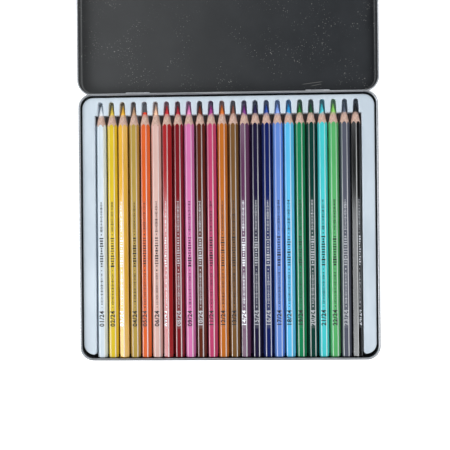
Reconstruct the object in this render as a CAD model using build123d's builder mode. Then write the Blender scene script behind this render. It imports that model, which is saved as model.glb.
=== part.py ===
"""A hinged tin of 24 coloured pencils in a formed plastic tray, shown open with its lid folded flat.

Millimetres. +X right, +Y to the hinge, +Z up. The origin is the middle of the underside of the base.
The tin is sized from the pencils outwards: pencils, tray round them, base round the tray, lid over the base.
"""

from build123d import *
from math import cos, radians, sin
import os

os.makedirs("parts", exist_ok=True)

# ---------------------------------------------------------------- pencils
pencil_length = 175.0
pencil_flats = 6.2  # across two opposite flats
pencil_edge_radius = 0.7
pencil_end_radius = 0.6
cone_length = 13.5  # sharpened length, measured where the cone meets a flat
lead_diameter = 3.3
lead_tip_radius = 0.3
dip_thickness = 0.9  # lacquer and wood that hide the lead at the blunt end
blunt_stub = 1.8  # what is left of the broken lead past its wood
blunt_stub_radius = 0.5

# colour of each pencil from left to right, and how far it has rolled from flat side up, in degrees
pencils = [
    ("white", 0), ("yellow", -2), ("golden_yellow", 30), ("ochre", 0),
    ("orange_red", -14), ("peach", 0), ("red", 34), ("crimson", -6),
    ("pink", -3), ("brown", -10), ("rose", -12), ("amber", -4),
    ("olive_brown", -4), ("purple", -23), ("indigo", -4), ("navy", 5),
    ("cornflower", 1), ("sky_blue", -14), ("green", -10), ("dark_green", 2),
    ("turquoise", -3), ("light_green", 0), ("grey", -6), ("black", 30),
]
blunt_pencil = "orange_red"

# ---------------------------------------------------------------- tray
tray_sheet = 0.5
channel_clearance = 0.13  # between a pencil's edges and its round channel
channel_land = 0.45  # between two channels, at their widest
channel_depth = 2.1  # from the land down to the bottom of a channel
well_margin = 0.3
ledge_width = 8.8
ledge_rise = 3.4  # ledge above the pencils' centre line
slot_mouth_width = 4.6
slot_end_width = 3.4
slot_length = 9.4
slot_floor_drop = 2.6  # below the pencils' centre line
tip_gap = 1.65  # from a pencil's tip to the end of its slot
back_land = 3.1  # from the slots' ends to the back edge of the tray
front_setback = 2.0  # from the pencils' blunt ends back to the front edge of the tray
tray_corner_radius = 7.5
tray_edge_radius = 0.5
ledge_front_radius = 2.0  # in plan, where a ledge turns from the well to the front edge

# ---------------------------------------------------------------- tin
tin_sheet = 0.3
tray_floor_gap = 0.1
tray_side_gap = 0.9
tray_back_gap = 1.15
pencil_end_gap = 0.3
base_floor_radius = 1.0  # inside, where a wall meets the floor
base_curl = 1.4  # outer diameter of the rolled rim
base_corner_radius = 8.1  # inside, in plan
rim_rise = 2.4  # rim of the base above the ledges of the tray
curl_turn = 280.0  # how far round the rim is rolled, in degrees
lid_clearance = 0.25  # between the lid's skirt and the base's rolled rim
lid_floor_radius = 2.0
lid_curl = 0.95
lid_headroom = 3.4  # inside the closed lid, above the rim of the base

# ---------------------------------------------------------------- hinges
hinge_spacing = 124.0
hinge_setback = 0.2  # hinge line behind the outermost point of the base's rim
pin_diameter = 0.7
pin_clearance = 0.05  # radial, in the lid's knuckles
pin_end_chamfer = 0.1
knuckle_diameter = 1.7
base_knuckle_length = 8.0
lid_knuckle_length = 4.0
knuckle_gap = 0.2
knuckle_swing_gap = 0.25
knuckle_web = 0.7  # height of the tongue that carries the base's knuckle
skirt_overlap = 0.35  # of the lid's skirt into its own knuckles

# ---------------------------------------------------------------- worked out from the sizes above
pencil_circle = pencil_flats / 2 / cos(radians(30)) - pencil_edge_radius * (1 / cos(radians(30)) - 1)
cone_slope = pencil_flats / 2 / cone_length
lead_exposed = lead_diameter / 2 / cone_slope
channel_radius = pencil_circle + channel_clearance
pitch = 2 * channel_radius + channel_land
row_half = (len(pencils) - 1) / 2 * pitch
well_half = row_half + channel_radius + well_margin
tray_half = well_half + ledge_width

inner_half_x = tray_half + tray_side_gap
inner_depth = pencil_end_gap + pencil_length + tip_gap + back_land + tray_back_gap
inner_half_y = inner_depth / 2
rim_half_x = inner_half_x + base_curl
rim_half_y = inner_half_y + base_curl

end_y = pencil_end_gap - inner_half_y
tip_y = end_y + pencil_length
slot_end_y = tip_y + tip_gap
well_back_y = slot_end_y - slot_length
tray_back_y = slot_end_y + back_land
tray_front_y = end_y + front_setback

tray_bottom_z = tin_sheet + tray_floor_gap
pencil_z = tray_bottom_z + tray_sheet + channel_radius
land_z = tray_bottom_z + tray_sheet + channel_depth
ledge_z = pencil_z + ledge_rise
slot_floor_z = pencil_z - slot_floor_drop
base_height = ledge_z + rim_rise
closed_height = base_height + lid_headroom + tin_sheet

hinge_y = rim_half_y + hinge_setback
hinge_z = closed_height / 2
lid_height = hinge_z + lid_curl / 2
lid_center_y = 2 * hinge_y  # the lid lies open, turned half round about the hinge line
lid_half_x = rim_half_x + lid_clearance
lid_half_y = rim_half_y + lid_clearance
lid_corner_radius = base_corner_radius + base_curl + lid_clearance
knuckle_radius = knuckle_diameter / 2
stack_length = base_knuckle_length + 2 * (knuckle_gap + lid_knuckle_length)
hinge_x = [-hinge_spacing / 2, hinge_spacing / 2]


def finish(part, name):
    """Label a finished piece and write it to its own file."""
    part.label = name
    export_step(part, f"parts/{name}.step")


def wall_section(height, curl, floor_radius):
    """Section of a folded sheet: floor radius, wall and rolled rim. X = 0 is the wall's inner face."""
    outer = curl / 2
    inner = outer - tin_sheet
    roll_z = height - outer
    bend_z = tin_sheet + floor_radius

    def on_roll(radius, turn):
        """A point of the rolled rim, so far from the rim's own axis and so many degrees round it."""
        angle = radians(180 - turn)
        return outer + radius * cos(angle), roll_z + radius * sin(angle)

    with BuildSketch() as section:
        with BuildLine():
            Line((-floor_radius, tin_sheet), (-floor_radius, 0))
            RadiusArc((-floor_radius, 0), (tin_sheet, bend_z), -bend_z)
            Line((tin_sheet, bend_z), on_roll(inner, 0))
            ThreePointArc(*[on_roll(inner, turn) for turn in (0, curl_turn / 2, curl_turn)])
            Line(on_roll(inner, curl_turn), on_roll(outer, curl_turn))
            ThreePointArc(*[on_roll(outer, turn) for turn in (curl_turn, curl_turn / 2, 0)])
            Line(on_roll(outer, 0), (0, bend_z))
            RadiusArc((0, bend_z), (-floor_radius, tin_sheet), floor_radius)
        make_face()
    return section.sketch


def add_pan(section, center_y, half_x, half_y, corner, floor_radius):
    """Add a shallow pan to the part being built: four walls, four round corners and a floor."""
    straight_x = half_x - corner
    straight_y = half_y - corner
    # which way each wall faces, where it starts, what its second corner turns about, and its length
    sides = [
        ((1, 0), (half_x, straight_y), (straight_x, -straight_y), 2 * straight_y),
        ((0, -1), (straight_x, -half_y), (-straight_x, -straight_y), 2 * straight_x),
        ((-1, 0), (-half_x, -straight_y), (-straight_x, straight_y), 2 * straight_y),
        ((0, 1), (-straight_x, half_y), (straight_x, straight_y), 2 * straight_x),
    ]
    middle = Vector(0, center_y)
    for facing, start, turn, length in sides:
        outward = Vector(*facing)
        along = outward.cross(Vector(0, 0, 1))
        near = middle + Vector(*start)
        with BuildSketch(Plane(near, x_dir=outward, z_dir=along)) as side:
            add(section)
        extrude(side.sketch, amount=length)
        with BuildSketch(Plane(near + along * length, x_dir=outward, z_dir=along)) as bend:
            add(section)
        revolve(bend.sketch, axis=Axis(middle + Vector(*turn), (0, 0, -1)), revolution_arc=90)
    with BuildSketch(Plane.XY) as floor:
        with Locations((0, center_y)):
            floor_size = (2 * (half_x - floor_radius), 2 * (half_y - floor_radius))
            RectangleRounded(*floor_size, corner - floor_radius)
    extrude(floor.sketch, amount=tin_sheet)


def add_cylinder_x(x_from, x_to, radius, mode=Mode.ADD):
    """Add or cut a round bar on the hinge line, from one X to another."""
    with BuildSketch(Plane.YZ.offset(x_from)) as disc:
        with Locations((hinge_y, hinge_z)):
            Circle(radius)
    extrude(disc.sketch, amount=x_to - x_from, mode=mode)


# ---------------------------------------------------------------- base of the tin
base_wall_section = wall_section(base_height, base_curl, base_floor_radius)
with BuildPart() as tin_base:
    add_pan(base_wall_section, 0, inner_half_x, inner_half_y, base_corner_radius, base_floor_radius)
    for x in hinge_x:
        start = x - base_knuckle_length / 2
        web_depth = hinge_y - inner_half_y - tin_sheet
        with BuildSketch(Plane.YZ.offset(start)):
            with Locations((hinge_y - web_depth / 2, hinge_z)):
                Rectangle(web_depth, knuckle_web)
        extrude(amount=base_knuckle_length)
        add_cylinder_x(start, start + base_knuckle_length, knuckle_radius)
        add_cylinder_x(start, start + base_knuckle_length, pin_diameter / 2, Mode.SUBTRACT)
finish(tin_base.part, "tin_base")

# ---------------------------------------------------------------- lid of the tin
lid_wall_section = wall_section(lid_height, lid_curl, lid_floor_radius)
lid_front_y = lid_center_y - lid_half_y  # inner face of the lid's wall at the hinge
with BuildPart() as tin_lid:
    add_pan(lid_wall_section, lid_center_y, lid_half_x, lid_half_y, lid_corner_radius, lid_floor_radius)
    for x in hinge_x:
        knuckle_cut = hinge_z - knuckle_radius + skirt_overlap
        swing_cut = hinge_z - knuckle_radius - knuckle_swing_gap
        cuts = [
            (stack_length + 2 * knuckle_gap, knuckle_cut),
            (base_knuckle_length + 2 * knuckle_gap, swing_cut),
        ]
        for width, z in cuts:
            with BuildSketch(Plane.XY.offset(z)):
                with Locations((x, lid_front_y)):
                    Rectangle(width, 2 * lid_curl + 2 * tin_sheet)
            extrude(amount=lid_height, mode=Mode.SUBTRACT)
        for side in (-1, 1):
            near = x + side * (base_knuckle_length / 2 + knuckle_gap)
            far = near + side * lid_knuckle_length
            add_cylinder_x(min(near, far), max(near, far), knuckle_radius)
            bore = pin_diameter / 2 + pin_clearance
            add_cylinder_x(min(near, far), max(near, far), bore, Mode.SUBTRACT)
finish(tin_lid.part, "tin_lid")

# ---------------------------------------------------------------- hinge pins
for side_name, x in zip(("left", "right"), hinge_x):
    with BuildPart() as hinge_pin:
        add_cylinder_x(x - stack_length / 2, x + stack_length / 2, pin_diameter / 2)
        chamfer(hinge_pin.edges().filter_by(GeomType.CIRCLE), length=pin_end_chamfer)
    finish(hinge_pin.part, f"hinge_pin_{side_name}")

# ---------------------------------------------------------------- pencil tray
pencil_x = [i * pitch - row_half for i in range(len(pencils))]


def add_well(grow, mode):
    """Add or cut the well, its channels and the tip slots, grown on every side by the given amount."""
    top = ledge_z + tray_sheet
    back_y = well_back_y + grow
    front_y = tray_front_y - front_setback
    corner_x = well_half + ledge_front_radius
    corner_y = tray_front_y + ledge_front_radius
    with BuildSketch(Plane.XY.offset(land_z - grow)) as well:
        with Locations((0, (back_y + front_y) / 2)):
            Rectangle(2 * (well_half + grow), back_y - front_y)
        with Locations((0, (corner_y + front_y) / 2)):
            Rectangle(2 * corner_x, corner_y - front_y)
        with Locations((-corner_x, corner_y), (corner_x, corner_y)):
            Circle(ledge_front_radius - grow, mode=Mode.SUBTRACT)
    extrude(well.sketch, amount=top - land_z + grow, mode=mode)
    with BuildSketch(Plane.XZ.offset(-back_y)) as channels:
        with Locations([(x, pencil_z) for x in pencil_x]):
            Circle(channel_radius + grow)
    extrude(channels.sketch, amount=back_y - front_y, mode=mode)
    with BuildSketch() as slot:
        with Locations((0, -slot_mouth_width / 2)):
            Circle(slot_mouth_width / 2 + grow)
        with Locations((0, slot_length - slot_end_width / 2)):
            Circle(slot_end_width / 2 + grow)
        make_hull()
    with BuildSketch(Plane.XY.offset(slot_floor_z - grow)) as slots:
        with Locations([(x, well_back_y) for x in pencil_x]):
            add(slot.sketch)
    extrude(slots.sketch, amount=top - slot_floor_z + grow, mode=mode)


def add_tray_block(shrink, mode):
    """Add or cut the tray's outer block, drawn in by the given amount at its top and sides."""
    size = (2 * (tray_half - shrink), tray_back_y - tray_front_y - 2 * shrink)
    with BuildSketch(Plane.XY.offset(tray_bottom_z)) as outline:
        with Locations((0, (tray_back_y + tray_front_y) / 2)):
            RectangleRounded(*size, tray_corner_radius - shrink)
    extrude(outline.sketch, amount=ledge_z - tray_bottom_z - shrink, mode=mode)


with BuildPart() as well_skin:
    add_well(tray_sheet, Mode.ADD)
    add_tray_block(0, Mode.INTERSECT)
with BuildPart() as pencil_tray:
    add_tray_block(0, Mode.ADD)
    add_tray_block(tray_sheet, Mode.SUBTRACT)
    add(well_skin.part)
    add_well(0, Mode.SUBTRACT)
    rim = pencil_tray.faces().filter_by(Axis.Z).sort_by(Axis.Z)[-1]
    fillet(rim.edges(), radius=tray_edge_radius)
finish(pencil_tray.part, "pencil_tray")


# ---------------------------------------------------------------- pencils
def make_barrel(x, roll):
    """A pencil's wooden barrel: a rounded hexagon, sharpened to a cone and bored for its lead."""
    with BuildPart() as barrel:
        with BuildSketch(Plane.XZ.offset(-end_y)):
            with Locations((x, pencil_z)):
                RegularPolygon(pencil_flats / 2, 6, major_radius=False, rotation=-roll)
            fillet(vertices(), radius=pencil_edge_radius)
        extrude(amount=-pencil_length)
        fillet(faces().sort_by(Axis.Y)[0].edges(), radius=pencil_end_radius)
        with BuildSketch(Plane.XY.offset(pencil_z)):
            with BuildLine():
                wide_x = x + pencil_flats
                wide_y = tip_y - pencil_flats / cone_slope
                back_y = end_y - pencil_flats
                Polyline((x, tip_y), (wide_x, wide_y), (wide_x, back_y), (x, back_y), close=True)
            make_face()
        revolve(axis=Axis((x, 0, pencil_z), (0, 1, 0)), mode=Mode.INTERSECT)
        with BuildSketch(Plane.XZ.offset(-end_y - dip_thickness)):
            with Locations((x, pencil_z)):
                Circle(lead_diameter / 2)
        extrude(amount=-pencil_length, mode=Mode.SUBTRACT)
    return barrel.part


def make_lead(x, blunt):
    """A pencil's coloured lead, with a sharpened tip or, if blunt, a short broken one."""
    radius = lead_diameter / 2
    start = end_y + dip_thickness
    wood_y = tip_y - lead_exposed
    with BuildPart() as lead:
        with BuildSketch(Plane.XY.offset(pencil_z)):
            with BuildLine():
                if blunt:
                    top = wood_y + blunt_stub
                    shoulder = (x + radius - blunt_stub_radius, top)
                    edge = (x + radius, top - blunt_stub_radius)
                    RadiusArc(edge, shoulder, -blunt_stub_radius)
                    Polyline(shoulder, (x, top), (x, start), (x + radius, start), edge)
                else:
                    nose_y = tip_y - lead_tip_radius / cone_slope
                    nose = (x + lead_tip_radius, nose_y)
                    Polyline((x, nose_y), (x, start), (x + radius, start), (x + radius, wood_y), nose)
                    RadiusArc(nose, (x, nose_y + lead_tip_radius), -lead_tip_radius)
                    Line((x, nose_y + lead_tip_radius), (x, nose_y))
            make_face()
        revolve(axis=Axis((x, 0, pencil_z), (0, 1, 0)))
    return lead.part


for number, ((colour, roll), x) in enumerate(zip(pencils, pencil_x), start=1):
    name = f"pencil_{number:02d}_{colour}"
    finish(make_barrel(x, roll), f"{name}_barrel")
    finish(make_lead(x, colour == blunt_pencil), f"{name}_lead")
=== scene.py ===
"""An open tin of 24 coloured pencils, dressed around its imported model.

Metres, as model.glb gives them. Sizes named _mm are millimetres. Materials work in millimetres too, a pencil's from its
tip and the others from the middle of the tin or of the lid.
"""

from math import atan2, cos, degrees, pi, radians, sin

import bpy
import numpy
from mathutils import Matrix, Vector


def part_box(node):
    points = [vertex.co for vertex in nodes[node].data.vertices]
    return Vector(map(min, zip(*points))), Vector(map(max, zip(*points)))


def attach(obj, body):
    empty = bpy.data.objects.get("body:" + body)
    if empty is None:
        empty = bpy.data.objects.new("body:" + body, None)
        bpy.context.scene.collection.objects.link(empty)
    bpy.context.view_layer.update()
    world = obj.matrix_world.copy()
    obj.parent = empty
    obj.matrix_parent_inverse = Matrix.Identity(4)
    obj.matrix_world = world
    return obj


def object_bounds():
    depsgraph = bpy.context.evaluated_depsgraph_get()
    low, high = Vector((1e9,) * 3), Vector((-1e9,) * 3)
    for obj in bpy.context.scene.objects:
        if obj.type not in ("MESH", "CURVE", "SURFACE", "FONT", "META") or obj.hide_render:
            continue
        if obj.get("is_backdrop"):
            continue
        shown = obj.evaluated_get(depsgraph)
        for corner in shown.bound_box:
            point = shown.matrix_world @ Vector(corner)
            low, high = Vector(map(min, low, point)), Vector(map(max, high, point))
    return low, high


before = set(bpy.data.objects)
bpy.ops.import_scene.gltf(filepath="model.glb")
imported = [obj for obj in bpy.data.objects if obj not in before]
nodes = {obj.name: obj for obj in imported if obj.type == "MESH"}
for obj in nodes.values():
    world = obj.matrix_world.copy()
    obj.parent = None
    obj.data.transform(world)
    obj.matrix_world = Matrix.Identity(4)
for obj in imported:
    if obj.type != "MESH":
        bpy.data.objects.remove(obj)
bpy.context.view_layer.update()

MM = 0.001
lead_radius_mm = 1.65
cone_slope = 3.1 / 13.5  # a barrel's half width over its sharpened length
lead_exposed_mm = lead_radius_mm / cone_slope
barrel_flat_mm = 3.1  # from a pencil's axis to a flat
barrel_edge_mm = 3.36  # from a pencil's axis to where its rounded edges begin
print_mm = (-70.6, 17.4)  # along Y, the part of each pencil that is stamped with foil

# colour word in the node's name, lacquer, lead, and how far the lead's edge slants across the wood
pencil_finishes = [
    ("white", "#d8e3ec", "#f4f6fa", 0.1),
    ("yellow", "#e2c232", "#e8ca4c", -0.1),
    ("golden_yellow", "#e8b038", "#f6c040", 0.0),
    ("ochre", "#b8994a", "#c89e7c", 0.1),
    ("orange_red", "#de6022", "#e84422", 0.0),
    ("peach", "#e0b8ae", "#fed0b0", 0.2),
    ("red", "#a82024", "#d82c34", -0.2),
    ("crimson", "#7e1820", "#c01c34", 0.1),
    ("pink", "#da76b0", "#f690c8", 0.0),
    ("brown", "#5e2818", "#863218", 0.5),
    ("rose", "#c0436e", "#b83e98", -0.5),
    ("amber", "#c46e28", "#e87c2a", 0.1),
    ("olive_brown", "#7a5630", "#925644", 0.0),
    ("purple", "#5c2c52", "#86368c", 0.5),
    ("indigo", "#1e1838", "#301e5a", 0.1),
    ("navy", "#122060", "#2e50ac", -0.1),
    ("cornflower", "#668cd8", "#96b4f4", 0.0),
    ("sky_blue", "#5cbeec", "#34b0ea", 0.2),
    ("green", "#1f8556", "#1e8434", -0.1),
    ("dark_green", "#0f3c34", "#185a36", 0.0),
    ("turquoise", "#4aced2", "#50d4dc", -0.5),
    ("light_green", "#5cb46c", "#94d868", 0.1),
    ("grey", "#585a68", "#5e6676", 0.0),
    ("black", "#060608", "#101014", 0.1),
]


# ---------------------------------------------------------------- small helpers
def hex_colour(text):
    """An sRGB hex colour as the linear colour that a shader takes."""
    channels = [int(text[i : i + 2], 16) / 255 for i in (1, 3, 5)]
    return tuple(c / 12.92 if c <= 0.04045 else ((c + 0.055) / 1.055) ** 2.4 for c in channels) + (1.0,)


def add_node(tree, kind, inputs=(), output=0, **settings):
    """Adds a node with its settings and links, and gives back one of its outputs.

    The inputs are a list in the node's own order, or a table by name or number. A socket is linked, a value is set.
    """
    node = tree.nodes.new(kind)
    for name, value in settings.items():
        setattr(node, name, value)
    for key, value in inputs.items() if isinstance(inputs, dict) else enumerate(inputs):
        if isinstance(value, bpy.types.NodeSocket):
            tree.links.new(value, node.inputs[key])
        else:
            node.inputs[key].default_value = value
    return node.outputs[output] if len(node.outputs) else node


def new_material(name):
    """An empty node material and its tree."""
    material = bpy.data.materials.new(name)
    material.use_nodes = True
    material.node_tree.nodes.clear()
    return material, material.node_tree


def give(node_name, material):
    """Puts one material on a CAD node."""
    slots = nodes[node_name].data.materials
    slots.clear()
    slots.append(material)


def millimetres_from(tree, x, y, z):
    """Object coordinates in millimetres, measured from a point given in millimetres."""
    place = add_node(tree, "ShaderNodeTexCoord", output="Object")
    per_mm = (1 / MM, 1 / MM, 1 / MM)
    return add_node(tree, "ShaderNodeVectorMath", [place, per_mm, (-x, -y, -z)], operation="MULTIPLY_ADD")


# settings shared by many nodes: a range that is eased and held at both ends, a mix of two colours or of two numbers,
# and noise in cells that are already sized in millimetres
EASED = {"interpolation_type": "SMOOTHSTEP"}
COLOURS = {"output": 2, "data_type": "RGBA"}
FACTOR, FIRST, SECOND = 0, 6, 7  # inputs of a mix of colours
FIRST_NUMBER, SECOND_NUMBER = 2, 3  # inputs of a mix of numbers
NOISE = {"Scale": 1.0, "Roughness": 0.55}


# ---------------------------------------------------------------- pencils
def lead_edge(tree, place, slant, seed):
    """1 on the lead's side of its ragged, slanting edge against the wood, 0 on the wood's side."""
    offset = add_node(tree, "ShaderNodeVectorMath", [place, (seed * 7.3, 0, seed * 3.1)], operation="ADD")
    cells = add_node(tree, "ShaderNodeVectorMath", [offset, (0.9, 0.5, 0.9)], operation="MULTIPLY")
    ragged = add_node(tree, "ShaderNodeTexNoise", {"Vector": cells, "Detail": 4.0, **NOISE})
    parts = add_node(tree, "ShaderNodeSeparateXYZ", [place]).node.outputs
    tilted = add_node(tree, "ShaderNodeMath", [parts["X"], slant, parts["Y"]], operation="MULTIPLY_ADD")
    ragged_mm, soft_mm = 1.6, 0.08
    edge = add_node(tree, "ShaderNodeMath", [ragged, ragged_mm, tilted], operation="MULTIPLY_ADD")
    middle = ragged_mm / 2 - lead_exposed_mm
    return add_node(tree, "ShaderNodeMapRange", [edge, middle - soft_mm, middle + soft_mm], **EASED)


def bare_cone(tree, place, lead, slant, seed):
    """Colour of the sharpened wood: fine long grain, lead dust near the point, and the lead beyond its edge."""
    parts = add_node(tree, "ShaderNodeSeparateXYZ", [place]).node.outputs
    cells = add_node(tree, "ShaderNodeVectorMath", [place, (2.2, 0.16, 2.2)], operation="MULTIPLY")
    grain = add_node(tree, "ShaderNodeTexNoise", {"Vector": cells, "Detail": 5.0, **NOISE})
    grain = add_node(tree, "ShaderNodeMapRange", [grain, 0.3, 0.7], **EASED)
    pale_wood, dark_wood = hex_colour("#dcbcac"), hex_colour("#b08a7a")
    wood = add_node(tree, "ShaderNodeMix", {FACTOR: grain, FIRST: dark_wood, SECOND: pale_wood}, **COLOURS)
    dust_reach_mm, dust_share = 2.4, 0.4
    dust = [parts["Y"], -lead_exposed_mm - dust_reach_mm, -lead_exposed_mm, 0.0, dust_share]
    dust = add_node(tree, "ShaderNodeMapRange", dust, **EASED)
    dusty = add_node(tree, "ShaderNodeMix", {FACTOR: dust, FIRST: wood, SECOND: hex_colour(lead)}, **COLOURS)
    edge = lead_edge(tree, place, slant, seed)
    return add_node(tree, "ShaderNodeMix", {FACTOR: edge, FIRST: dusty, SECOND: hex_colour(lead)}, **COLOURS)


def stamping_haze(tree, place, axis, lean, haze):
    """Share of the haze that stamping leaves on the stamped flat, between the two ends of the print."""
    parts = add_node(tree, "ShaderNodeSeparateXYZ", [place]).node.outputs
    first, last = print_mm[0] - axis[1], print_mm[1] - axis[1]
    sharp_mm, faded_mm = 0.4, 4.0
    after_first = [parts["Y"], first - sharp_mm, first + sharp_mm, 0.0, haze]
    after_first = add_node(tree, "ShaderNodeMapRange", after_first, **EASED)
    before_last = [parts["Y"], last - faded_mm, last + faded_mm, 1.0, 0.0]
    before_last = add_node(tree, "ShaderNodeMapRange", before_last, **EASED)
    upright = [place, (sin(lean), 0, cos(lean))]
    height = add_node(tree, "ShaderNodeVectorMath", upright, output="Value", operation="DOT_PRODUCT")
    on_flat = [height, barrel_flat_mm - 0.15, barrel_flat_mm - 0.05]  # height above the pencil's axis
    on_flat = add_node(tree, "ShaderNodeMapRange", on_flat, **EASED)
    hazed = add_node(tree, "ShaderNodeMath", [after_first, before_last], operation="MULTIPLY")
    return add_node(tree, "ShaderNodeMath", [hazed, on_flat], operation="MULTIPLY")


def painted_edge_highlights(tree, place, radius):
    """Painted highlight along the upper edges, brighter on the right and towards the blunt end."""
    parts = add_node(tree, "ShaderNodeSeparateXYZ", [place]).node.outputs
    edge_soft_mm = 0.07
    on_edge = [radius, barrel_edge_mm, barrel_edge_mm + edge_soft_mm]
    on_edge = add_node(tree, "ShaderNodeMapRange", on_edge, **EASED)
    right = add_node(tree, "ShaderNodeMapRange", [parts["X"], -0.3, 0.3, 0.65, 1.0], **EASED)
    upper = add_node(tree, "ShaderNodeMapRange", [parts["Z"], 1.6, 2.3], **EASED)
    blunt = add_node(tree, "ShaderNodeMapRange", [parts["Y"], -85.0, -10.0, 1.0, 0.45], **EASED)
    edge_highlight = add_node(tree, "ShaderNodeMath", [on_edge, right], operation="MULTIPLY")
    edge_highlight = add_node(tree, "ShaderNodeMath", [edge_highlight, upper], operation="MULTIPLY")
    return add_node(tree, "ShaderNodeMath", [edge_highlight, blunt], operation="MULTIPLY")


def lacquered_wood(colour, lacquer, lead, slant, seed, axis, lean, haze):
    """Basswood barrel, dipped in coats of glossy cellulose lacquer and sharpened.

    The lacquer is smooth, carries a painted highlight along its upper edges and is hazed where foil was stamped on it.
    The cone is matt bare wood.
    """
    material, tree = new_material(f"cellulose_lacquer_on_basswood_{colour}")
    place = millimetres_from(tree, *axis)
    along = add_node(tree, "ShaderNodeSeparateXYZ", [place], output="Y")
    across = add_node(tree, "ShaderNodeVectorMath", [place, (1, 0, 1)], operation="MULTIPLY")
    radius = add_node(tree, "ShaderNodeVectorMath", [across], output="Value", operation="LENGTH")
    cone = add_node(tree, "ShaderNodeMath", [along, -cone_slope], operation="MULTIPLY")
    outside_cone = add_node(tree, "ShaderNodeMath", [cone, radius], operation="SUBTRACT")
    is_lacquer = add_node(tree, "ShaderNodeMapRange", [outside_cone, 0.05, 0.09], **EASED)

    hazed = stamping_haze(tree, place, axis, lean, haze)
    hazed = {FACTOR: hazed, FIRST: hex_colour(lacquer), SECOND: hex_colour("#b9bbc0")}
    hazed = add_node(tree, "ShaderNodeMix", hazed, **COLOURS)
    cells = add_node(tree, "ShaderNodeVectorMath", [place, (0.25, 0.05, 0.25)], operation="MULTIPLY")
    cloud = add_node(tree, "ShaderNodeTexNoise", {"Vector": cells, "Detail": 2.0, **NOISE})
    cloud = add_node(tree, "ShaderNodeMapRange", [cloud, 0.25, 0.75, 0.93, 1.05], **EASED)
    body_tone = add_node(tree, "ShaderNodeHueSaturation", {"Color": hazed, "Value": cloud})
    # painted highlight: the lacquer lightened towards white on its upper edges
    highlight_tone = {FACTOR: 0.65, FIRST: hex_colour(lacquer), SECOND: hex_colour("#ffffff")}
    highlight_tone = add_node(tree, "ShaderNodeMix", highlight_tone, **COLOURS)
    edge_highlight = painted_edge_highlights(tree, place, radius)
    coat = add_node(tree, "ShaderNodeMix", {FACTOR: edge_highlight, FIRST: body_tone, SECOND: highlight_tone}, **COLOURS)
    bare = bare_cone(tree, place, lead, slant, seed)
    skin = add_node(tree, "ShaderNodeMix", {FACTOR: is_lacquer, FIRST: bare, SECOND: coat}, **COLOURS)

    # relief: slow orange peel in the lacquer, knife marks on the cone
    cells = add_node(tree, "ShaderNodeVectorMath", [place, (1.2, 0.3, 1.2)], operation="MULTIPLY")
    peel = add_node(tree, "ShaderNodeTexNoise", {"Vector": cells, "Detail": 2.0, **NOISE})
    peel = add_node(tree, "ShaderNodeMapRange", [peel, 0.0, 1.0, 0.4, 0.6], **EASED)
    cells = add_node(tree, "ShaderNodeVectorMath", [place, (5.0, 0.5, 5.0)], operation="MULTIPLY")
    knife = add_node(tree, "ShaderNodeTexNoise", {"Vector": cells, "Detail": 4.0, **NOISE})
    relief = {FACTOR: is_lacquer, FIRST_NUMBER: knife, SECOND_NUMBER: peel}
    relief = add_node(tree, "ShaderNodeMix", relief, data_type="FLOAT")
    bump = add_node(tree, "ShaderNodeBump", {"Height": relief, "Distance": 0.05 * MM, "Strength": 0.5})
    wood_roughness, lacquer_roughness = 0.62, 0.14
    gloss = add_node(tree, "ShaderNodeMapRange", [is_lacquer, 0.0, 1.0, wood_roughness, lacquer_roughness])
    finish = {"Base Color": skin, "Roughness": gloss, "IOR": 1.5, "Normal": bump}
    shader = add_node(tree, "ShaderNodeBsdfPrincipled", finish)
    add_node(tree, "ShaderNodeOutputMaterial", {"Surface": shader})
    return material


def coloured_lead(colour, lead, slant, seed, axis):
    """Pigmented wax lead, turned to a point by the sharpener: waxy, with fine turning marks and crumbs."""
    material, tree = new_material(f"pigmented_wax_lead_{colour}")
    place = millimetres_from(tree, *axis)
    cells = add_node(tree, "ShaderNodeVectorMath", [place, (1.8, 2.6, 1.8)], operation="MULTIPLY")
    crumbs = add_node(tree, "ShaderNodeTexNoise", {"Vector": cells, "Detail": 4.0, **NOISE})
    tone = add_node(tree, "ShaderNodeMapRange", [crumbs, 0.3, 0.7, 1.0, 1.3], **EASED)
    tone = add_node(tree, "ShaderNodeHueSaturation", {"Color": hex_colour(lead), "Value": tone})
    edge = lead_edge(tree, place, slant, seed)
    core = add_node(tree, "ShaderNodeMix", {FACTOR: edge, FIRST: hex_colour("#d4ae98"), SECOND: tone}, **COLOURS)
    bump = add_node(tree, "ShaderNodeBump", {"Height": crumbs, "Distance": 0.12 * MM, "Strength": 0.5})
    finish = {"Base Color": core, "Roughness": 0.42, "IOR": 1.45, "Normal": bump}
    shader = add_node(tree, "ShaderNodeBsdfPrincipled", finish)
    add_node(tree, "ShaderNodeOutputMaterial", {"Surface": shader})
    return material


def facet_leans(node_name):
    """How far each of a barrel's long flats leans from level, in radians, + towards +X, the most level one first."""
    mesh = nodes[node_name].data
    normals = numpy.zeros(3 * len(mesh.polygons))
    areas = numpy.zeros(len(mesh.polygons))
    mesh.polygons.foreach_get("normal", normals)
    mesh.polygons.foreach_get("area", areas)
    flats = {}  # area of the faces at each lean, in degrees to the nearest half
    for (nx, ny, nz), area in zip(normals.reshape(-1, 3), areas):
        runs_along_y, faces_up = abs(ny) < 0.02, nz > 0.1
        if runs_along_y and faces_up:
            lean = round(degrees(atan2(nx, nz)) * 2) / 2
            flats[lean] = flats.get(lean, 0) + area
    widest = sorted(flats, key=flats.get)[-3:]
    return [radians(lean) for lean in sorted(widest, key=lambda lean: (round(abs(lean) / 10), lean))]


# ---------------------------------------------------------------- foil marks on the pencils
foil_mm = 0.02  # thickness of the film, drawn thicker than real foil so that it is a closed shape
foil_gap_mm = 0.004
size_over_digits = 1.38  # the built-in font's size over the height of its digits
digit_bold_mm = 0.12


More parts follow.
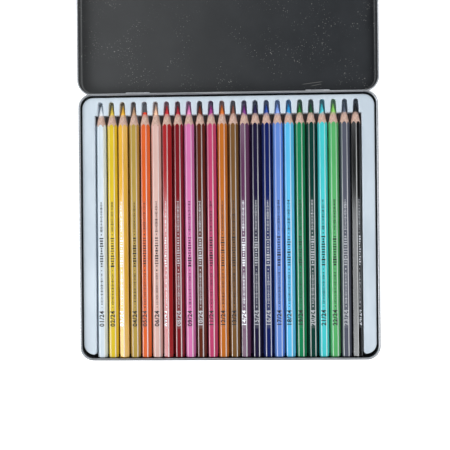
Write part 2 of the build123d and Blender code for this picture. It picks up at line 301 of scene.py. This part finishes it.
def build_foil_row():
    """Geometry Nodes tree: a row of short foil strokes, of random lengths, from Start to End along Y."""
    tree = bpy.data.node_groups.new("foil_row", "GeometryNodeTree")
    tree.interface.new_socket("Geometry", in_out="INPUT", socket_type="NodeSocketGeometry")
    inputs = {
        "Start": "NodeSocketFloat",
        "End": "NodeSocketFloat",
        "Stroke height": "NodeSocketFloat",
        "Stroke width": "NodeSocketFloat",
        "Film thickness": "NodeSocketFloat",
        "Strokes": "NodeSocketInt",
        "Seed": "NodeSocketInt",
        "Foil": "NodeSocketMaterial",
    }
    for name, kind in inputs.items():
        tree.interface.new_socket(name, in_out="INPUT", socket_type=kind)
    tree.interface.new_socket("Geometry", in_out="OUTPUT", socket_type="NodeSocketGeometry")
    row = add_node(tree, "NodeGroupInput").node.outputs
    start = add_node(tree, "ShaderNodeCombineXYZ", {"Y": row["Start"]})
    end = add_node(tree, "ShaderNodeCombineXYZ", {"Y": row["End"]})
    ends = {"Count": row["Strokes"], "Start Location": start, "Offset": end}
    line = add_node(tree, "GeometryNodeMeshLine", ends, mode="END_POINTS")
    sides = [row["Stroke height"], row["Stroke width"], row["Film thickness"]]
    stroke = add_node(tree, "GeometryNodeMeshCube", {"Size": add_node(tree, "ShaderNodeCombineXYZ", sides)})
    spread = {"Min": (0.35, 0.7, 1.0), "Max": (1.0, 1.5, 1.0), "Seed": row["Seed"]}
    size = add_node(tree, "FunctionNodeRandomValue", spread, data_type="FLOAT_VECTOR")
    strokes = add_node(tree, "GeometryNodeInstanceOnPoints", {"Points": line, "Instance": stroke, "Scale": size})
    solid = add_node(tree, "GeometryNodeRealizeInstances", {"Geometry": strokes})
    dressed = add_node(tree, "GeometryNodeSetMaterial", {"Geometry": solid, "Material": row["Foil"]})
    add_node(tree, "NodeGroupOutput", {"Geometry": dressed})
    return tree


def socket_name(tree, label):
    """The identifier of a tree's named input."""
    return next(s.identifier for s in tree.interface.items_tree if s.name == label and s.in_out == "INPUT")


def plain_mesh(holder):
    """The evaluated object as a mesh of its own. The holder is deleted."""
    graph = bpy.context.evaluated_depsgraph_get()
    mesh = bpy.data.meshes.new_from_object(holder.evaluated_get(graph))
    bpy.data.objects.remove(holder)
    return mesh


def foil_row(tree, foil, start_mm, end_mm, height_mm, width_mm, strokes, seed):
    """One row of foil strokes as a plain mesh, centred on z = 0 and on x = 0."""
    holder = bpy.data.objects.new("foil_row_holder", bpy.data.meshes.new("foil_row_holder"))
    bpy.context.collection.objects.link(holder)
    modifier = holder.modifiers.new("foil row", "NODES")
    modifier.node_group = tree
    values = {
        "Start": start_mm * MM,
        "End": end_mm * MM,
        "Stroke height": height_mm * MM,
        "Stroke width": width_mm * MM,
        "Film thickness": foil_mm * MM,
        "Strokes": strokes,
        "Seed": seed,
        "Foil": foil,
    }
    for label, value in values.items():
        modifier[socket_name(tree, label)] = value
    return plain_mesh(holder)


def foil_number(text, middle_mm, height_mm):
    """A plain number as a thin mesh, read along the pencil towards its point."""
    curve = bpy.data.curves.new("foil_number", "FONT")
    curve.body = text
    curve.size = height_mm * MM * size_over_digits
    curve.space_character = 1.12
    curve.offset = digit_bold_mm * MM
    curve.extrude = foil_mm * MM / 2
    curve.resolution_u = 3
    curve.align_x = "CENTER"
    curve.align_y = "CENTER"
    holder = bpy.data.objects.new("foil_number", curve)
    bpy.context.collection.objects.link(holder)
    mesh = plain_mesh(holder)
    mesh.transform(Matrix.Translation((0, middle_mm * MM, 0)) @ Matrix.Rotation(pi / 2, 4, "Z"))
    return mesh


def stamped_foil(metal, dull, bright):
    """Hot-stamped metal foil: a thin film, scuffed and slightly crinkled by the lacquer below it."""
    material, tree = new_material(f"hot_stamped_{metal}_foil")
    place = millimetres_from(tree, 0, 0, 0)
    cells = add_node(tree, "ShaderNodeVectorMath", [place, (1.6, 1.6, 1.6)], operation="MULTIPLY")
    crinkle = add_node(tree, "ShaderNodeTexNoise", {"Vector": cells, "Detail": 4.0, **NOISE})
    scuff = add_node(tree, "ShaderNodeMapRange", [crinkle, 0.3, 0.7], **EASED)
    tone = {FACTOR: scuff, FIRST: hex_colour(dull), SECOND: hex_colour(bright)}
    tone = add_node(tree, "ShaderNodeMix", tone, **COLOURS)
    bump = add_node(tree, "ShaderNodeBump", {"Height": crinkle, "Distance": 0.05 * MM, "Strength": 0.6})
    finish = {"Base Color": tone, "Metallic": 0.6, "Roughness": 0.45, "Normal": bump}
    shader = add_node(tree, "ShaderNodeBsdfPrincipled", finish)
    add_node(tree, "ShaderNodeOutputMaterial", {"Surface": shader})
    return material


silver_foil = stamped_foil("silver", "#b0b1b6", "#e6e7ec")
pewter_foil = stamped_foil("pewter", "#1e1d20", "#48464a")
silver_marked = ("golden_yellow", "red", "crimson", "brown", "purple", "indigo", "navy", "dark_green", "grey", "black")
row_tree = build_foil_row()
# start, end, stroke height, stroke width and number of strokes of each stamped row, in millimetres from mid tin
foil_rows = [
    (17.0, -3.2, 1.7, 0.45, 21),
    (-5.4, -5.4, 0.8, 0.8, 1),
    (-8.0, -27.2, 2.7, 0.8, 12),
    (-30.2, -30.2, 0.8, 0.8, 1),
    (-32.6, -53.5, 1.7, 0.42, 22),
    (-55.6, -55.6, 0.8, 0.8, 1),
]
number_middle_mm = -63.5
number_height_mm = 3.1
silver_haze, pewter_haze = 0.1, 0.04  # how much of the stamping's haze is left on the lacquer


def stamp_pencil(number, name, axis, lean, foil):
    """Foil rows and the pencil's number of 24 on one of its flats, as one piece that rides with the pencil."""
    meshes = [foil_row(row_tree, foil, *row, seed=number * 10 + i) for i, row in enumerate(foil_rows)]
    meshes.append(foil_number(f"{number:02d}/24", number_middle_mm, number_height_mm))
    corners, faces = [], []
    for mesh in meshes:
        first = len(corners)
        corners += [corner.co.copy() for corner in mesh.vertices]
        faces += [[first + i for i in face.vertices] for face in mesh.polygons]
        bpy.data.meshes.remove(mesh)
    joined = bpy.data.meshes.new(f"{name}_foil")
    joined.from_pydata(corners, [], faces)
    lift = Matrix.Translation((0, 0, (barrel_flat_mm + foil_gap_mm + foil_mm / 2) * MM))
    seat = Matrix.Translation((axis[0] * MM, 0, axis[2] * MM))
    joined.transform(seat @ Matrix.Rotation(lean, 4, "Y") @ lift)
    joined.materials.append(foil)
    stamp = bpy.data.objects.new(f"{name}_foil", joined)
    bpy.context.collection.objects.link(stamp)
    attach(stamp, name)


for number, (colour, lacquer, lead, slant) in enumerate(pencil_finishes, start=1):
    name = f"pencil_{number:02d}_{colour}"
    low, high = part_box(f"{name}_barrel")
    tip = (
        (low[0] + high[0]) / 2 / MM,
        high[1] / MM + lead_exposed_mm,
        (low[2] + high[2]) / 2 / MM,
    )
    foil, haze = (silver_foil, silver_haze) if colour in silver_marked else (pewter_foil, pewter_haze)
    leans = facet_leans(f"{name}_barrel")
    stamped = leans[1] if colour == "black" else leans[0]  # the black pencil lies with its print turned right
    give(f"{name}_barrel", lacquered_wood(colour, lacquer, lead, slant, number, tip, stamped, haze))
    give(f"{name}_lead", coloured_lead(colour, lead, slant, number, tip))
    stamp_pencil(number, name, tip, stamped, foil)


# ---------------------------------------------------------------- tray
row_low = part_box("pencil_01_white_lead")
row_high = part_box("pencil_24_black_lead")
first_pencil_mm = (row_low[0][0] + row_low[1][0]) / 2 / MM
last_pencil_mm = (row_high[0][0] + row_high[1][0]) / 2 / MM
pitch_mm = (last_pencil_mm - first_pencil_mm) / (len(pencil_finishes) - 1)
ledge_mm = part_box("pencil_tray")[1][2] / MM
land_mm = 3.0  # height of the lands between the channels
well_back_mm = 76.95  # along Y, where the well ends and the slots begin
wood_dust_and_shade_mm = (69.0, 72.0)  # along Y, where brown-grey painted shade with wood dust takes over on the lands


def rubbed_off_shade_and_bounce_colour(tree, across):
    """What the nearest pencil leaves on the tray, in one band for each pencil: its lead's colour, which is lead dust in
    the slots and painted bounce light on the lands, and grey in the orange-red band, which is painted shade in its
    empty slot.
    """
    reach = [across, first_pencil_mm - pitch_mm / 2, last_pencil_mm + pitch_mm / 2]
    bands = add_node(tree, "ShaderNodeValToRGB", [add_node(tree, "ShaderNodeMapRange", reach)])
    stops = bands.node.color_ramp
    stops.interpolation = "CONSTANT"
    stops.elements.remove(stops.elements[1])
    for i, (colour, _, lead, _) in enumerate(pencil_finishes):
        stop = stops.elements[0] if i == 0 else stops.elements.new(i / len(pencil_finishes))
        # the orange-red pencil's slot lies empty, and its grey is painted shade on the slot floor
        stop.color = hex_colour("#93928a" if colour == "orange_red" else lead)
    return bands


def moulded_polystyrene():
    """Vacuum-formed polystyrene: cool pale grey, satin, with faint marks of the mould and of handling.

    Leads have left dust in the slots for the points. The lands between pencils carry painted shade, tinted with the
    nearest lead's colour as painted bounce light, and brown-grey painted shade with wood dust near the points.
    """
    material, tree = new_material("vacuum_formed_polystyrene")
    place = millimetres_from(tree, 0, 0, 0)
    parts = add_node(tree, "ShaderNodeSeparateXYZ", [place]).node.outputs
    cells = add_node(tree, "ShaderNodeVectorMath", [place, (0.05, 0.02, 0.05)], operation="MULTIPLY")
    handling = add_node(tree, "ShaderNodeTexNoise", {"Vector": cells, "Detail": 4.0, **NOISE})
    cloudy = add_node(tree, "ShaderNodeMapRange", [handling, 0.3, 0.7], **EASED)
    plastic = {FACTOR: cloudy, FIRST: hex_colour("#c9d4de"), SECOND: hex_colour("#d8e2eb")}
    plastic = add_node(tree, "ShaderNodeMix", plastic, **COLOURS)

    rubbed_shade_and_bounce = rubbed_off_shade_and_bounce_colour(tree, parts["X"])
    # lead dust in the slots, more of it deep down; in the empty orange-red slot it is painted shade
    below_ledge = [parts["Z"], ledge_mm - 1.0, ledge_mm - 0.2, 0.28, 0.0]
    below_ledge = add_node(tree, "ShaderNodeMapRange", below_ledge, **EASED)
    in_slots = add_node(tree, "ShaderNodeMapRange", [parts["Y"], well_back_mm, well_back_mm + 0.2], **EASED)
    slot_dust_and_shade = add_node(tree, "ShaderNodeMath", [below_ledge, in_slots], operation="MULTIPLY")
    dusted = add_node(tree, "ShaderNodeMix", {FACTOR: slot_dust_and_shade, FIRST: plastic, SECOND: rubbed_shade_and_bounce}, **COLOURS)

    # painted shade on the lands between pencils: the nearest lead's colour darkened, standing for shade and bounced
    # light in the narrow gaps
    painted_shade_between_pencils = {FACTOR: 0.45, FIRST: rubbed_shade_and_bounce, SECOND: hex_colour("#000000")}
    painted_shade_between_pencils = add_node(tree, "ShaderNodeMix", painted_shade_between_pencils, **COLOURS)
    # near the points the painted shade turns brown-grey, with wood dust
    near_points = add_node(tree, "ShaderNodeMapRange", [parts["Y"], *wood_dust_and_shade_mm], **EASED)
    painted_shade_on_lands = {FACTOR: near_points, FIRST: painted_shade_between_pencils, SECOND: hex_colour("#4a342c")}
    painted_shade_on_lands = add_node(tree, "ShaderNodeMix", painted_shade_on_lands, **COLOURS)
    low_enough = [parts["Z"], land_mm + 0.1, land_mm + 0.4, 0.93, 0.0]
    low_enough = add_node(tree, "ShaderNodeMapRange", low_enough, **EASED)
    high_enough = add_node(tree, "ShaderNodeMapRange", [parts["Z"], land_mm - 1.2, land_mm - 0.5], **EASED)
    in_well = [parts["Y"], well_back_mm - 0.2, well_back_mm, 1.0, 0.0]
    in_well = add_node(tree, "ShaderNodeMapRange", in_well, **EASED)
    on_lands = add_node(tree, "ShaderNodeMath", [low_enough, high_enough], operation="MULTIPLY")
    on_lands = add_node(tree, "ShaderNodeMath", [on_lands, in_well], operation="MULTIPLY")
    tone = add_node(tree, "ShaderNodeMix", {FACTOR: on_lands, FIRST: dusted, SECOND: painted_shade_on_lands}, **COLOURS)

    satin = add_node(tree, "ShaderNodeMapRange", [handling, 0.3, 0.7, 0.3, 0.42], **EASED)
    sheen = add_node(tree, "ShaderNodeMath", [on_lands, 0.5, satin], operation="MULTIPLY_ADD")
    cells = add_node(tree, "ShaderNodeVectorMath", [place, (3.0, 3.0, 3.0)], operation="MULTIPLY")
    mould = add_node(tree, "ShaderNodeTexNoise", {"Vector": cells, "Detail": 2.0, **NOISE})
    bump = add_node(tree, "ShaderNodeBump", {"Height": mould, "Distance": 0.02 * MM, "Strength": 0.5})
    finish = {"Base Color": tone, "Roughness": sheen, "IOR": 1.57, "Normal": bump}
    shader = add_node(tree, "ShaderNodeBsdfPrincipled", finish)
    add_node(tree, "ShaderNodeOutputMaterial", {"Surface": shader})
    return material


give("pencil_tray", moulded_polystyrene())


# ---------------------------------------------------------------- tin
# two light scratches, nearly along X: where each starts and ends along X, its Y at the start, and how far it climbs
scratches = ((51.0, 67.0, -86.6, 0.12), (57.0, 66.0, -88.0, 0.2))


def lacquered_inside(tree, place, rim_z_mm):
    """1 on the lacquered side of the sheet, which faces up or inwards and lies below the rolled rim, 0 elsewhere."""
    facing = add_node(tree, "ShaderNodeTexCoord", output="Normal")
    outward = add_node(tree, "ShaderNodeVectorMath", [place, (1, 1, 0)], operation="MULTIPLY")
    away = add_node(tree, "ShaderNodeVectorMath", [facing, outward], output="Value", operation="DOT_PRODUCT")
    up = add_node(tree, "ShaderNodeSeparateXYZ", [facing], output="Z")
    up = add_node(tree, "ShaderNodeMath", [up, 20.0], operation="MULTIPLY")
    inward = add_node(tree, "ShaderNodeMath", [up, away], operation="SUBTRACT")
    is_inside = add_node(tree, "ShaderNodeMapRange", [inward, -0.5, 0.5], **EASED)
    height = add_node(tree, "ShaderNodeSeparateXYZ", [place], output="Z")
    below_rim = [height, rim_z_mm - 0.1, rim_z_mm + 0.1, 1.0, 0.0]
    below_rim = add_node(tree, "ShaderNodeMapRange", below_rim, **EASED)
    return add_node(tree, "ShaderNodeMath", [is_inside, below_rim], operation="MULTIPLY")


def dusty_charcoal_and_sheen(tree, place):
    """Colour of the lacquer inside: faintly mottled charcoal with specks of dust, two scratches and a painted sheen
    that lightens it towards the left.
    """
    parts = add_node(tree, "ShaderNodeSeparateXYZ", [place]).node.outputs
    cells = add_node(tree, "ShaderNodeVectorMath", [place, (0.03, 0.03, 0.03)], operation="MULTIPLY")
    mottle = add_node(tree, "ShaderNodeTexNoise", {"Vector": cells, "Detail": 5.0, **NOISE})
    mottle = add_node(tree, "ShaderNodeMapRange", [mottle, 0.3, 0.7], **EASED)
    charcoal = {FACTOR: mottle, FIRST: hex_colour("#292b2e"), SECOND: hex_colour("#303235")}
    charcoal = add_node(tree, "ShaderNodeMix", charcoal, **COLOURS)
    cells = add_node(tree, "ShaderNodeVectorMath", [place, (1.1, 1.1, 1.1)], operation="MULTIPLY")
    specks = add_node(tree, "ShaderNodeTexNoise", {"Vector": cells, "Detail": 1.0, **NOISE})
    specks = add_node(tree, "ShaderNodeMapRange", [specks, 0.68, 0.74], **EASED)
    cells = add_node(tree, "ShaderNodeVectorMath", [place, (0.04, 0.04, 0.04)], operation="MULTIPLY")
    drift = add_node(tree, "ShaderNodeTexNoise", {"Vector": cells, "Detail": 2.0, **NOISE})
    drift = add_node(tree, "ShaderNodeMapRange", [drift, 0.45, 0.65, 0.0, 0.7], **EASED)
    dusty = add_node(tree, "ShaderNodeMath", [specks, drift], operation="MULTIPLY")
    dust_grey = hex_colour("#9c9a96")
    coat = add_node(tree, "ShaderNodeMix", {FACTOR: dusty, FIRST: charcoal, SECOND: dust_grey}, **COLOURS)

    for start, end, line, climb in scratches:
        ends = add_node(tree, "ShaderNodeMapRange", [parts["X"], start, start + 3.0], **EASED)
        stops = add_node(tree, "ShaderNodeMapRange", [parts["X"], end - 3.0, end, 0.3, 0.0], **EASED)
        climbed = add_node(tree, "ShaderNodeMath", [parts["X"], climb, line - climb * start], operation="MULTIPLY_ADD")
        off_line = add_node(tree, "ShaderNodeMath", [parts["Y"], climbed], operation="SUBTRACT")
        off_line = add_node(tree, "ShaderNodeMath", [off_line], operation="ABSOLUTE")
        scratch = add_node(tree, "ShaderNodeMapRange", [off_line, 0.1, 0.35, 1.0, 0.0], **EASED)
        scratch = add_node(tree, "ShaderNodeMath", [scratch, ends], operation="MULTIPLY")
        scratch = add_node(tree, "ShaderNodeMath", [scratch, stops], operation="MULTIPLY")
        coat = add_node(tree, "ShaderNodeMix", {FACTOR: scratch, FIRST: coat, SECOND: dust_grey}, **COLOURS)

    # painted sheen: the charcoal lightens towards the left, where the left light falls
    film = add_node(tree, "ShaderNodeMapRange", [parts["X"], -105.0, 90.0, 0.085, 0.0], **EASED)
    return add_node(tree, "ShaderNodeMix", {FACTOR: film, FIRST: coat, SECOND: hex_colour("#b4b2ae")}, **COLOURS)


def lacquered_tinplate(name, middle_y_mm, rim_z_mm):
    """Rolled tinplate: satin charcoal lacquer inside, bare satin tin outside, and bare bright metal on the rolled rim.

    The lacquer is a little dusty and scratched, and the metal has the faint streaks of rolling.
    """
    material, tree = new_material(name)
    place = millimetres_from(tree, 0, middle_y_mm, 0)
    cells = add_node(tree, "ShaderNodeVectorMath", [place, (0.03, 1.5, 1.5)], operation="MULTIPLY")
    streaks = add_node(tree, "ShaderNodeTexNoise", {"Vector": cells, "Detail": 3.0, **NOISE})
    streaks = add_node(tree, "ShaderNodeMapRange", [streaks, 0.3, 0.7], **EASED)
    metal = {FACTOR: streaks, FIRST: hex_colour("#9fa1a5"), SECOND: hex_colour("#c4c6ca")}
    metal = add_node(tree, "ShaderNodeMix", metal, **COLOURS)
    coat = dusty_charcoal_and_sheen(tree, place)
    is_lacquer = lacquered_inside(tree, place, rim_z_mm)
    skin = add_node(tree, "ShaderNodeMix", {FACTOR: is_lacquer, FIRST: metal, SECOND: coat}, **COLOURS)

    cells = add_node(tree, "ShaderNodeVectorMath", [place, (0.8, 0.8, 0.8)], operation="MULTIPLY")
    peel = add_node(tree, "ShaderNodeTexNoise", {"Vector": cells, "Detail": 2.0, **NOISE})
    bump = add_node(tree, "ShaderNodeBump", {"Height": peel, "Distance": 0.02 * MM, "Strength": 0.5})
    bare = add_node(tree, "ShaderNodeMath", [1.0, is_lacquer], operation="SUBTRACT")
    metal_roughness, lacquer_roughness = 0.42, 0.27
    gloss = add_node(tree, "ShaderNodeMapRange", [is_lacquer, 0.0, 1.0, metal_roughness, lacquer_roughness])
    finish = {"Base Color": skin, "Metallic": bare, "Roughness": gloss, "Normal": bump}
    shader = add_node(tree, "ShaderNodeBsdfPrincipled", finish)
    add_node(tree, "ShaderNodeOutputMaterial", {"Surface": shader})
    return material


# heights at which the rolled rims begin
rolled_rim_mm = 1.4
base_rim_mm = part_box("tin_base")[1][2] / MM - rolled_rim_mm
lid_rim_mm = 6.5
lid_low, lid_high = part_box("tin_lid")
lid_middle_mm = (lid_low[1] + lid_high[1]) / 2 / MM
give("tin_base", lacquered_tinplate("lacquered_tinplate_base", 0.0, base_rim_mm))
give("tin_lid", lacquered_tinplate("lacquered_tinplate_lid", lid_middle_mm, lid_rim_mm))


def drawn_steel():
    """Drawn steel wire: bright, with fine lines along the wire."""
    material, tree = new_material("drawn_steel_wire")
    place = millimetres_from(tree, 0, 0, 0)
    cells = add_node(tree, "ShaderNodeVectorMath", [place, (0.2, 8.0, 8.0)], operation="MULTIPLY")
    lines = add_node(tree, "ShaderNodeTexNoise", {"Vector": cells, "Detail": 2.0, **NOISE})
    tone = {FACTOR: lines, FIRST: hex_colour("#8f9094"), SECOND: hex_colour("#c4c5c9")}
    tone = add_node(tree, "ShaderNodeMix", tone, **COLOURS)
    gloss = add_node(tree, "ShaderNodeMapRange", [lines, 0.0, 1.0, 0.2, 0.4])
    shader = add_node(tree, "ShaderNodeBsdfPrincipled", {"Base Color": tone, "Metallic": 1.0, "Roughness": gloss})
    add_node(tree, "ShaderNodeOutputMaterial", {"Surface": shader})
    return material


steel = drawn_steel()
for pin in ("hinge_pin_left", "hinge_pin_right"):
    give(pin, steel)


# ---------------------------------------------------------------- studio
def seen_or_mirrored(tree):
    """1 for what is seen directly, in a mirror or through glass, and 0 for what only lights the tin."""
    rays = add_node(tree, "ShaderNodeLightPath").node.outputs
    seen = add_node(tree, "ShaderNodeMath", [rays["Is Camera Ray"], rays["Is Glossy Ray"]], operation="ADD")
    seen = [seen, rays["Is Transmission Ray"]]
    return add_node(tree, "ShaderNodeMath", seen, operation="ADD", use_clamp=True)


def white_floor():
    """Seamless white paper. Its open part shows as plain white, and it keeps the tin's shadow."""
    material, tree = new_material("white_studio_paper")
    seen = seen_or_mirrored(tree)
    place = add_node(tree, "ShaderNodeTexCoord", output="Object")
    from_tin = add_node(tree, "ShaderNodeVectorMath", [place], output="Value", operation="LENGTH")
    glow = add_node(tree, "ShaderNodeMapRange", [from_tin, 0.5, 1.6, 0.6, 1.0], **EASED)
    glow = add_node(tree, "ShaderNodeMath", [seen, glow], operation="MULTIPLY")
    paper = add_node(tree, "ShaderNodeBsdfDiffuse", {"Color": (0.8, 0.8, 0.8, 1.0)})
    light = add_node(tree, "ShaderNodeEmission", {"Color": (1.0, 1.0, 1.0, 1.0), "Strength": glow})
    shader = add_node(tree, "ShaderNodeAddShader", [paper, light])
    add_node(tree, "ShaderNodeOutputMaterial", {"Surface": shader})
    return material


floor_mesh = bpy.data.meshes.new("floor")
reach, level = 60.0, -0.05 * MM
corners = [(-reach, -reach, level), (reach, -reach, level), (reach, reach, level), (-reach, reach, level)]
floor_mesh.from_pydata(corners, [], [(0, 1, 2, 3)])
floor_mesh.materials.append(white_floor())
floor = bpy.data.objects.new("floor", floor_mesh)
bpy.context.collection.objects.link(floor)
floor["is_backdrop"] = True


def soft_box(name, azimuth, elevation, distance, shift, width, height, radiance):
    """A soft box aimed at the tin, in metres and degrees. Azimuth 0 is the +X side, and the shift is along Y."""
    light = bpy.data.lights.new(name, "AREA")
    light.shape = "RECTANGLE"
    light.size = width
    light.size_y = height
    light.energy = radiance * pi * width * height
    light.color = (0.95, 0.98, 1.0)
    box = bpy.data.objects.new(name, light)
    bpy.context.collection.objects.link(box)
    a, e = radians(azimuth), radians(elevation)
    towards = Vector((cos(a) * cos(e), sin(a) * cos(e), sin(e)))
    box.location = towards * distance + Vector((0, shift, 0))
    box.rotation_euler = towards.to_track_quat("Z", "Y").to_euler()
    box.visible_camera = False


# the left box shows as pale sheets on the flats that lean left, and the others stay out of every flat's reflection
# name, azimuth, elevation, distance, shift, width, height, radiance
soft_box("left_soft_box", 180, 29, 1.0, -0.15, 0.4, 0.43, 9.0)
soft_box("right_soft_box", 0, 54, 1.0, 0.0, 0.6, 0.34, 2.6)
for corner, azimuth in (("left_front", -145), ("right_front", -35), ("left_back", 145), ("right_back", 35)):
    soft_box(f"{corner}_soft_box", azimuth, 40, 1.3, 0.0, 0.8, 0.5, 2.85)
soft_box("back_soft_box", 90, 33, 1.3, 0.0, 1.4, 0.45, 2.5)

# soft grey room: pale at the horizon and dark overhead, so that level lacquer keeps its own colour. Seen directly, its
# horizon is white like the floor
world = bpy.data.worlds.new("soft_room")
world.use_nodes = True
room = world.node_tree
room.nodes.clear()
skyward = add_node(room, "ShaderNodeTexCoord", output="Generated")
rise = add_node(room, "ShaderNodeSeparateXYZ", [skyward], output="Z")
lit = add_node(room, "ShaderNodeMapRange", [rise, 0.0, 0.35, 0.7, 0.06])
shown = add_node(room, "ShaderNodeMapRange", [rise, 0.2, 0.35, 1.0, 0.06])
strength = {FACTOR: seen_or_mirrored(room), FIRST_NUMBER: lit, SECOND_NUMBER: shown}
strength = add_node(room, "ShaderNodeMix", strength, data_type="FLOAT")
backdrop = add_node(room, "ShaderNodeBackground", {"Color": (1.0, 1.0, 1.0, 1.0), "Strength": strength})
add_node(room, "ShaderNodeOutputWorld", {"Surface": backdrop})
bpy.context.scene.world = world
bpy.context.scene.view_settings.view_transform = "Standard"

# the camera looks almost straight down, a little to the right of the tin's middle, as fitted to the photograph
camera_mm = (19.3, -2.9, 575.0)
camera_degrees = (0.333, 2.19, -0.535)
lens = bpy.data.cameras.new("camera")
lens.sensor_width = 36.0
lens.lens = 66.02
camera = bpy.data.objects.new("camera", lens)
camera.location = Vector(camera_mm) * MM
camera.rotation_euler = [radians(angle) for angle in camera_degrees]
bpy.context.collection.objects.link(camera)
bpy.context.scene.camera = camera

low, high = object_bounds()
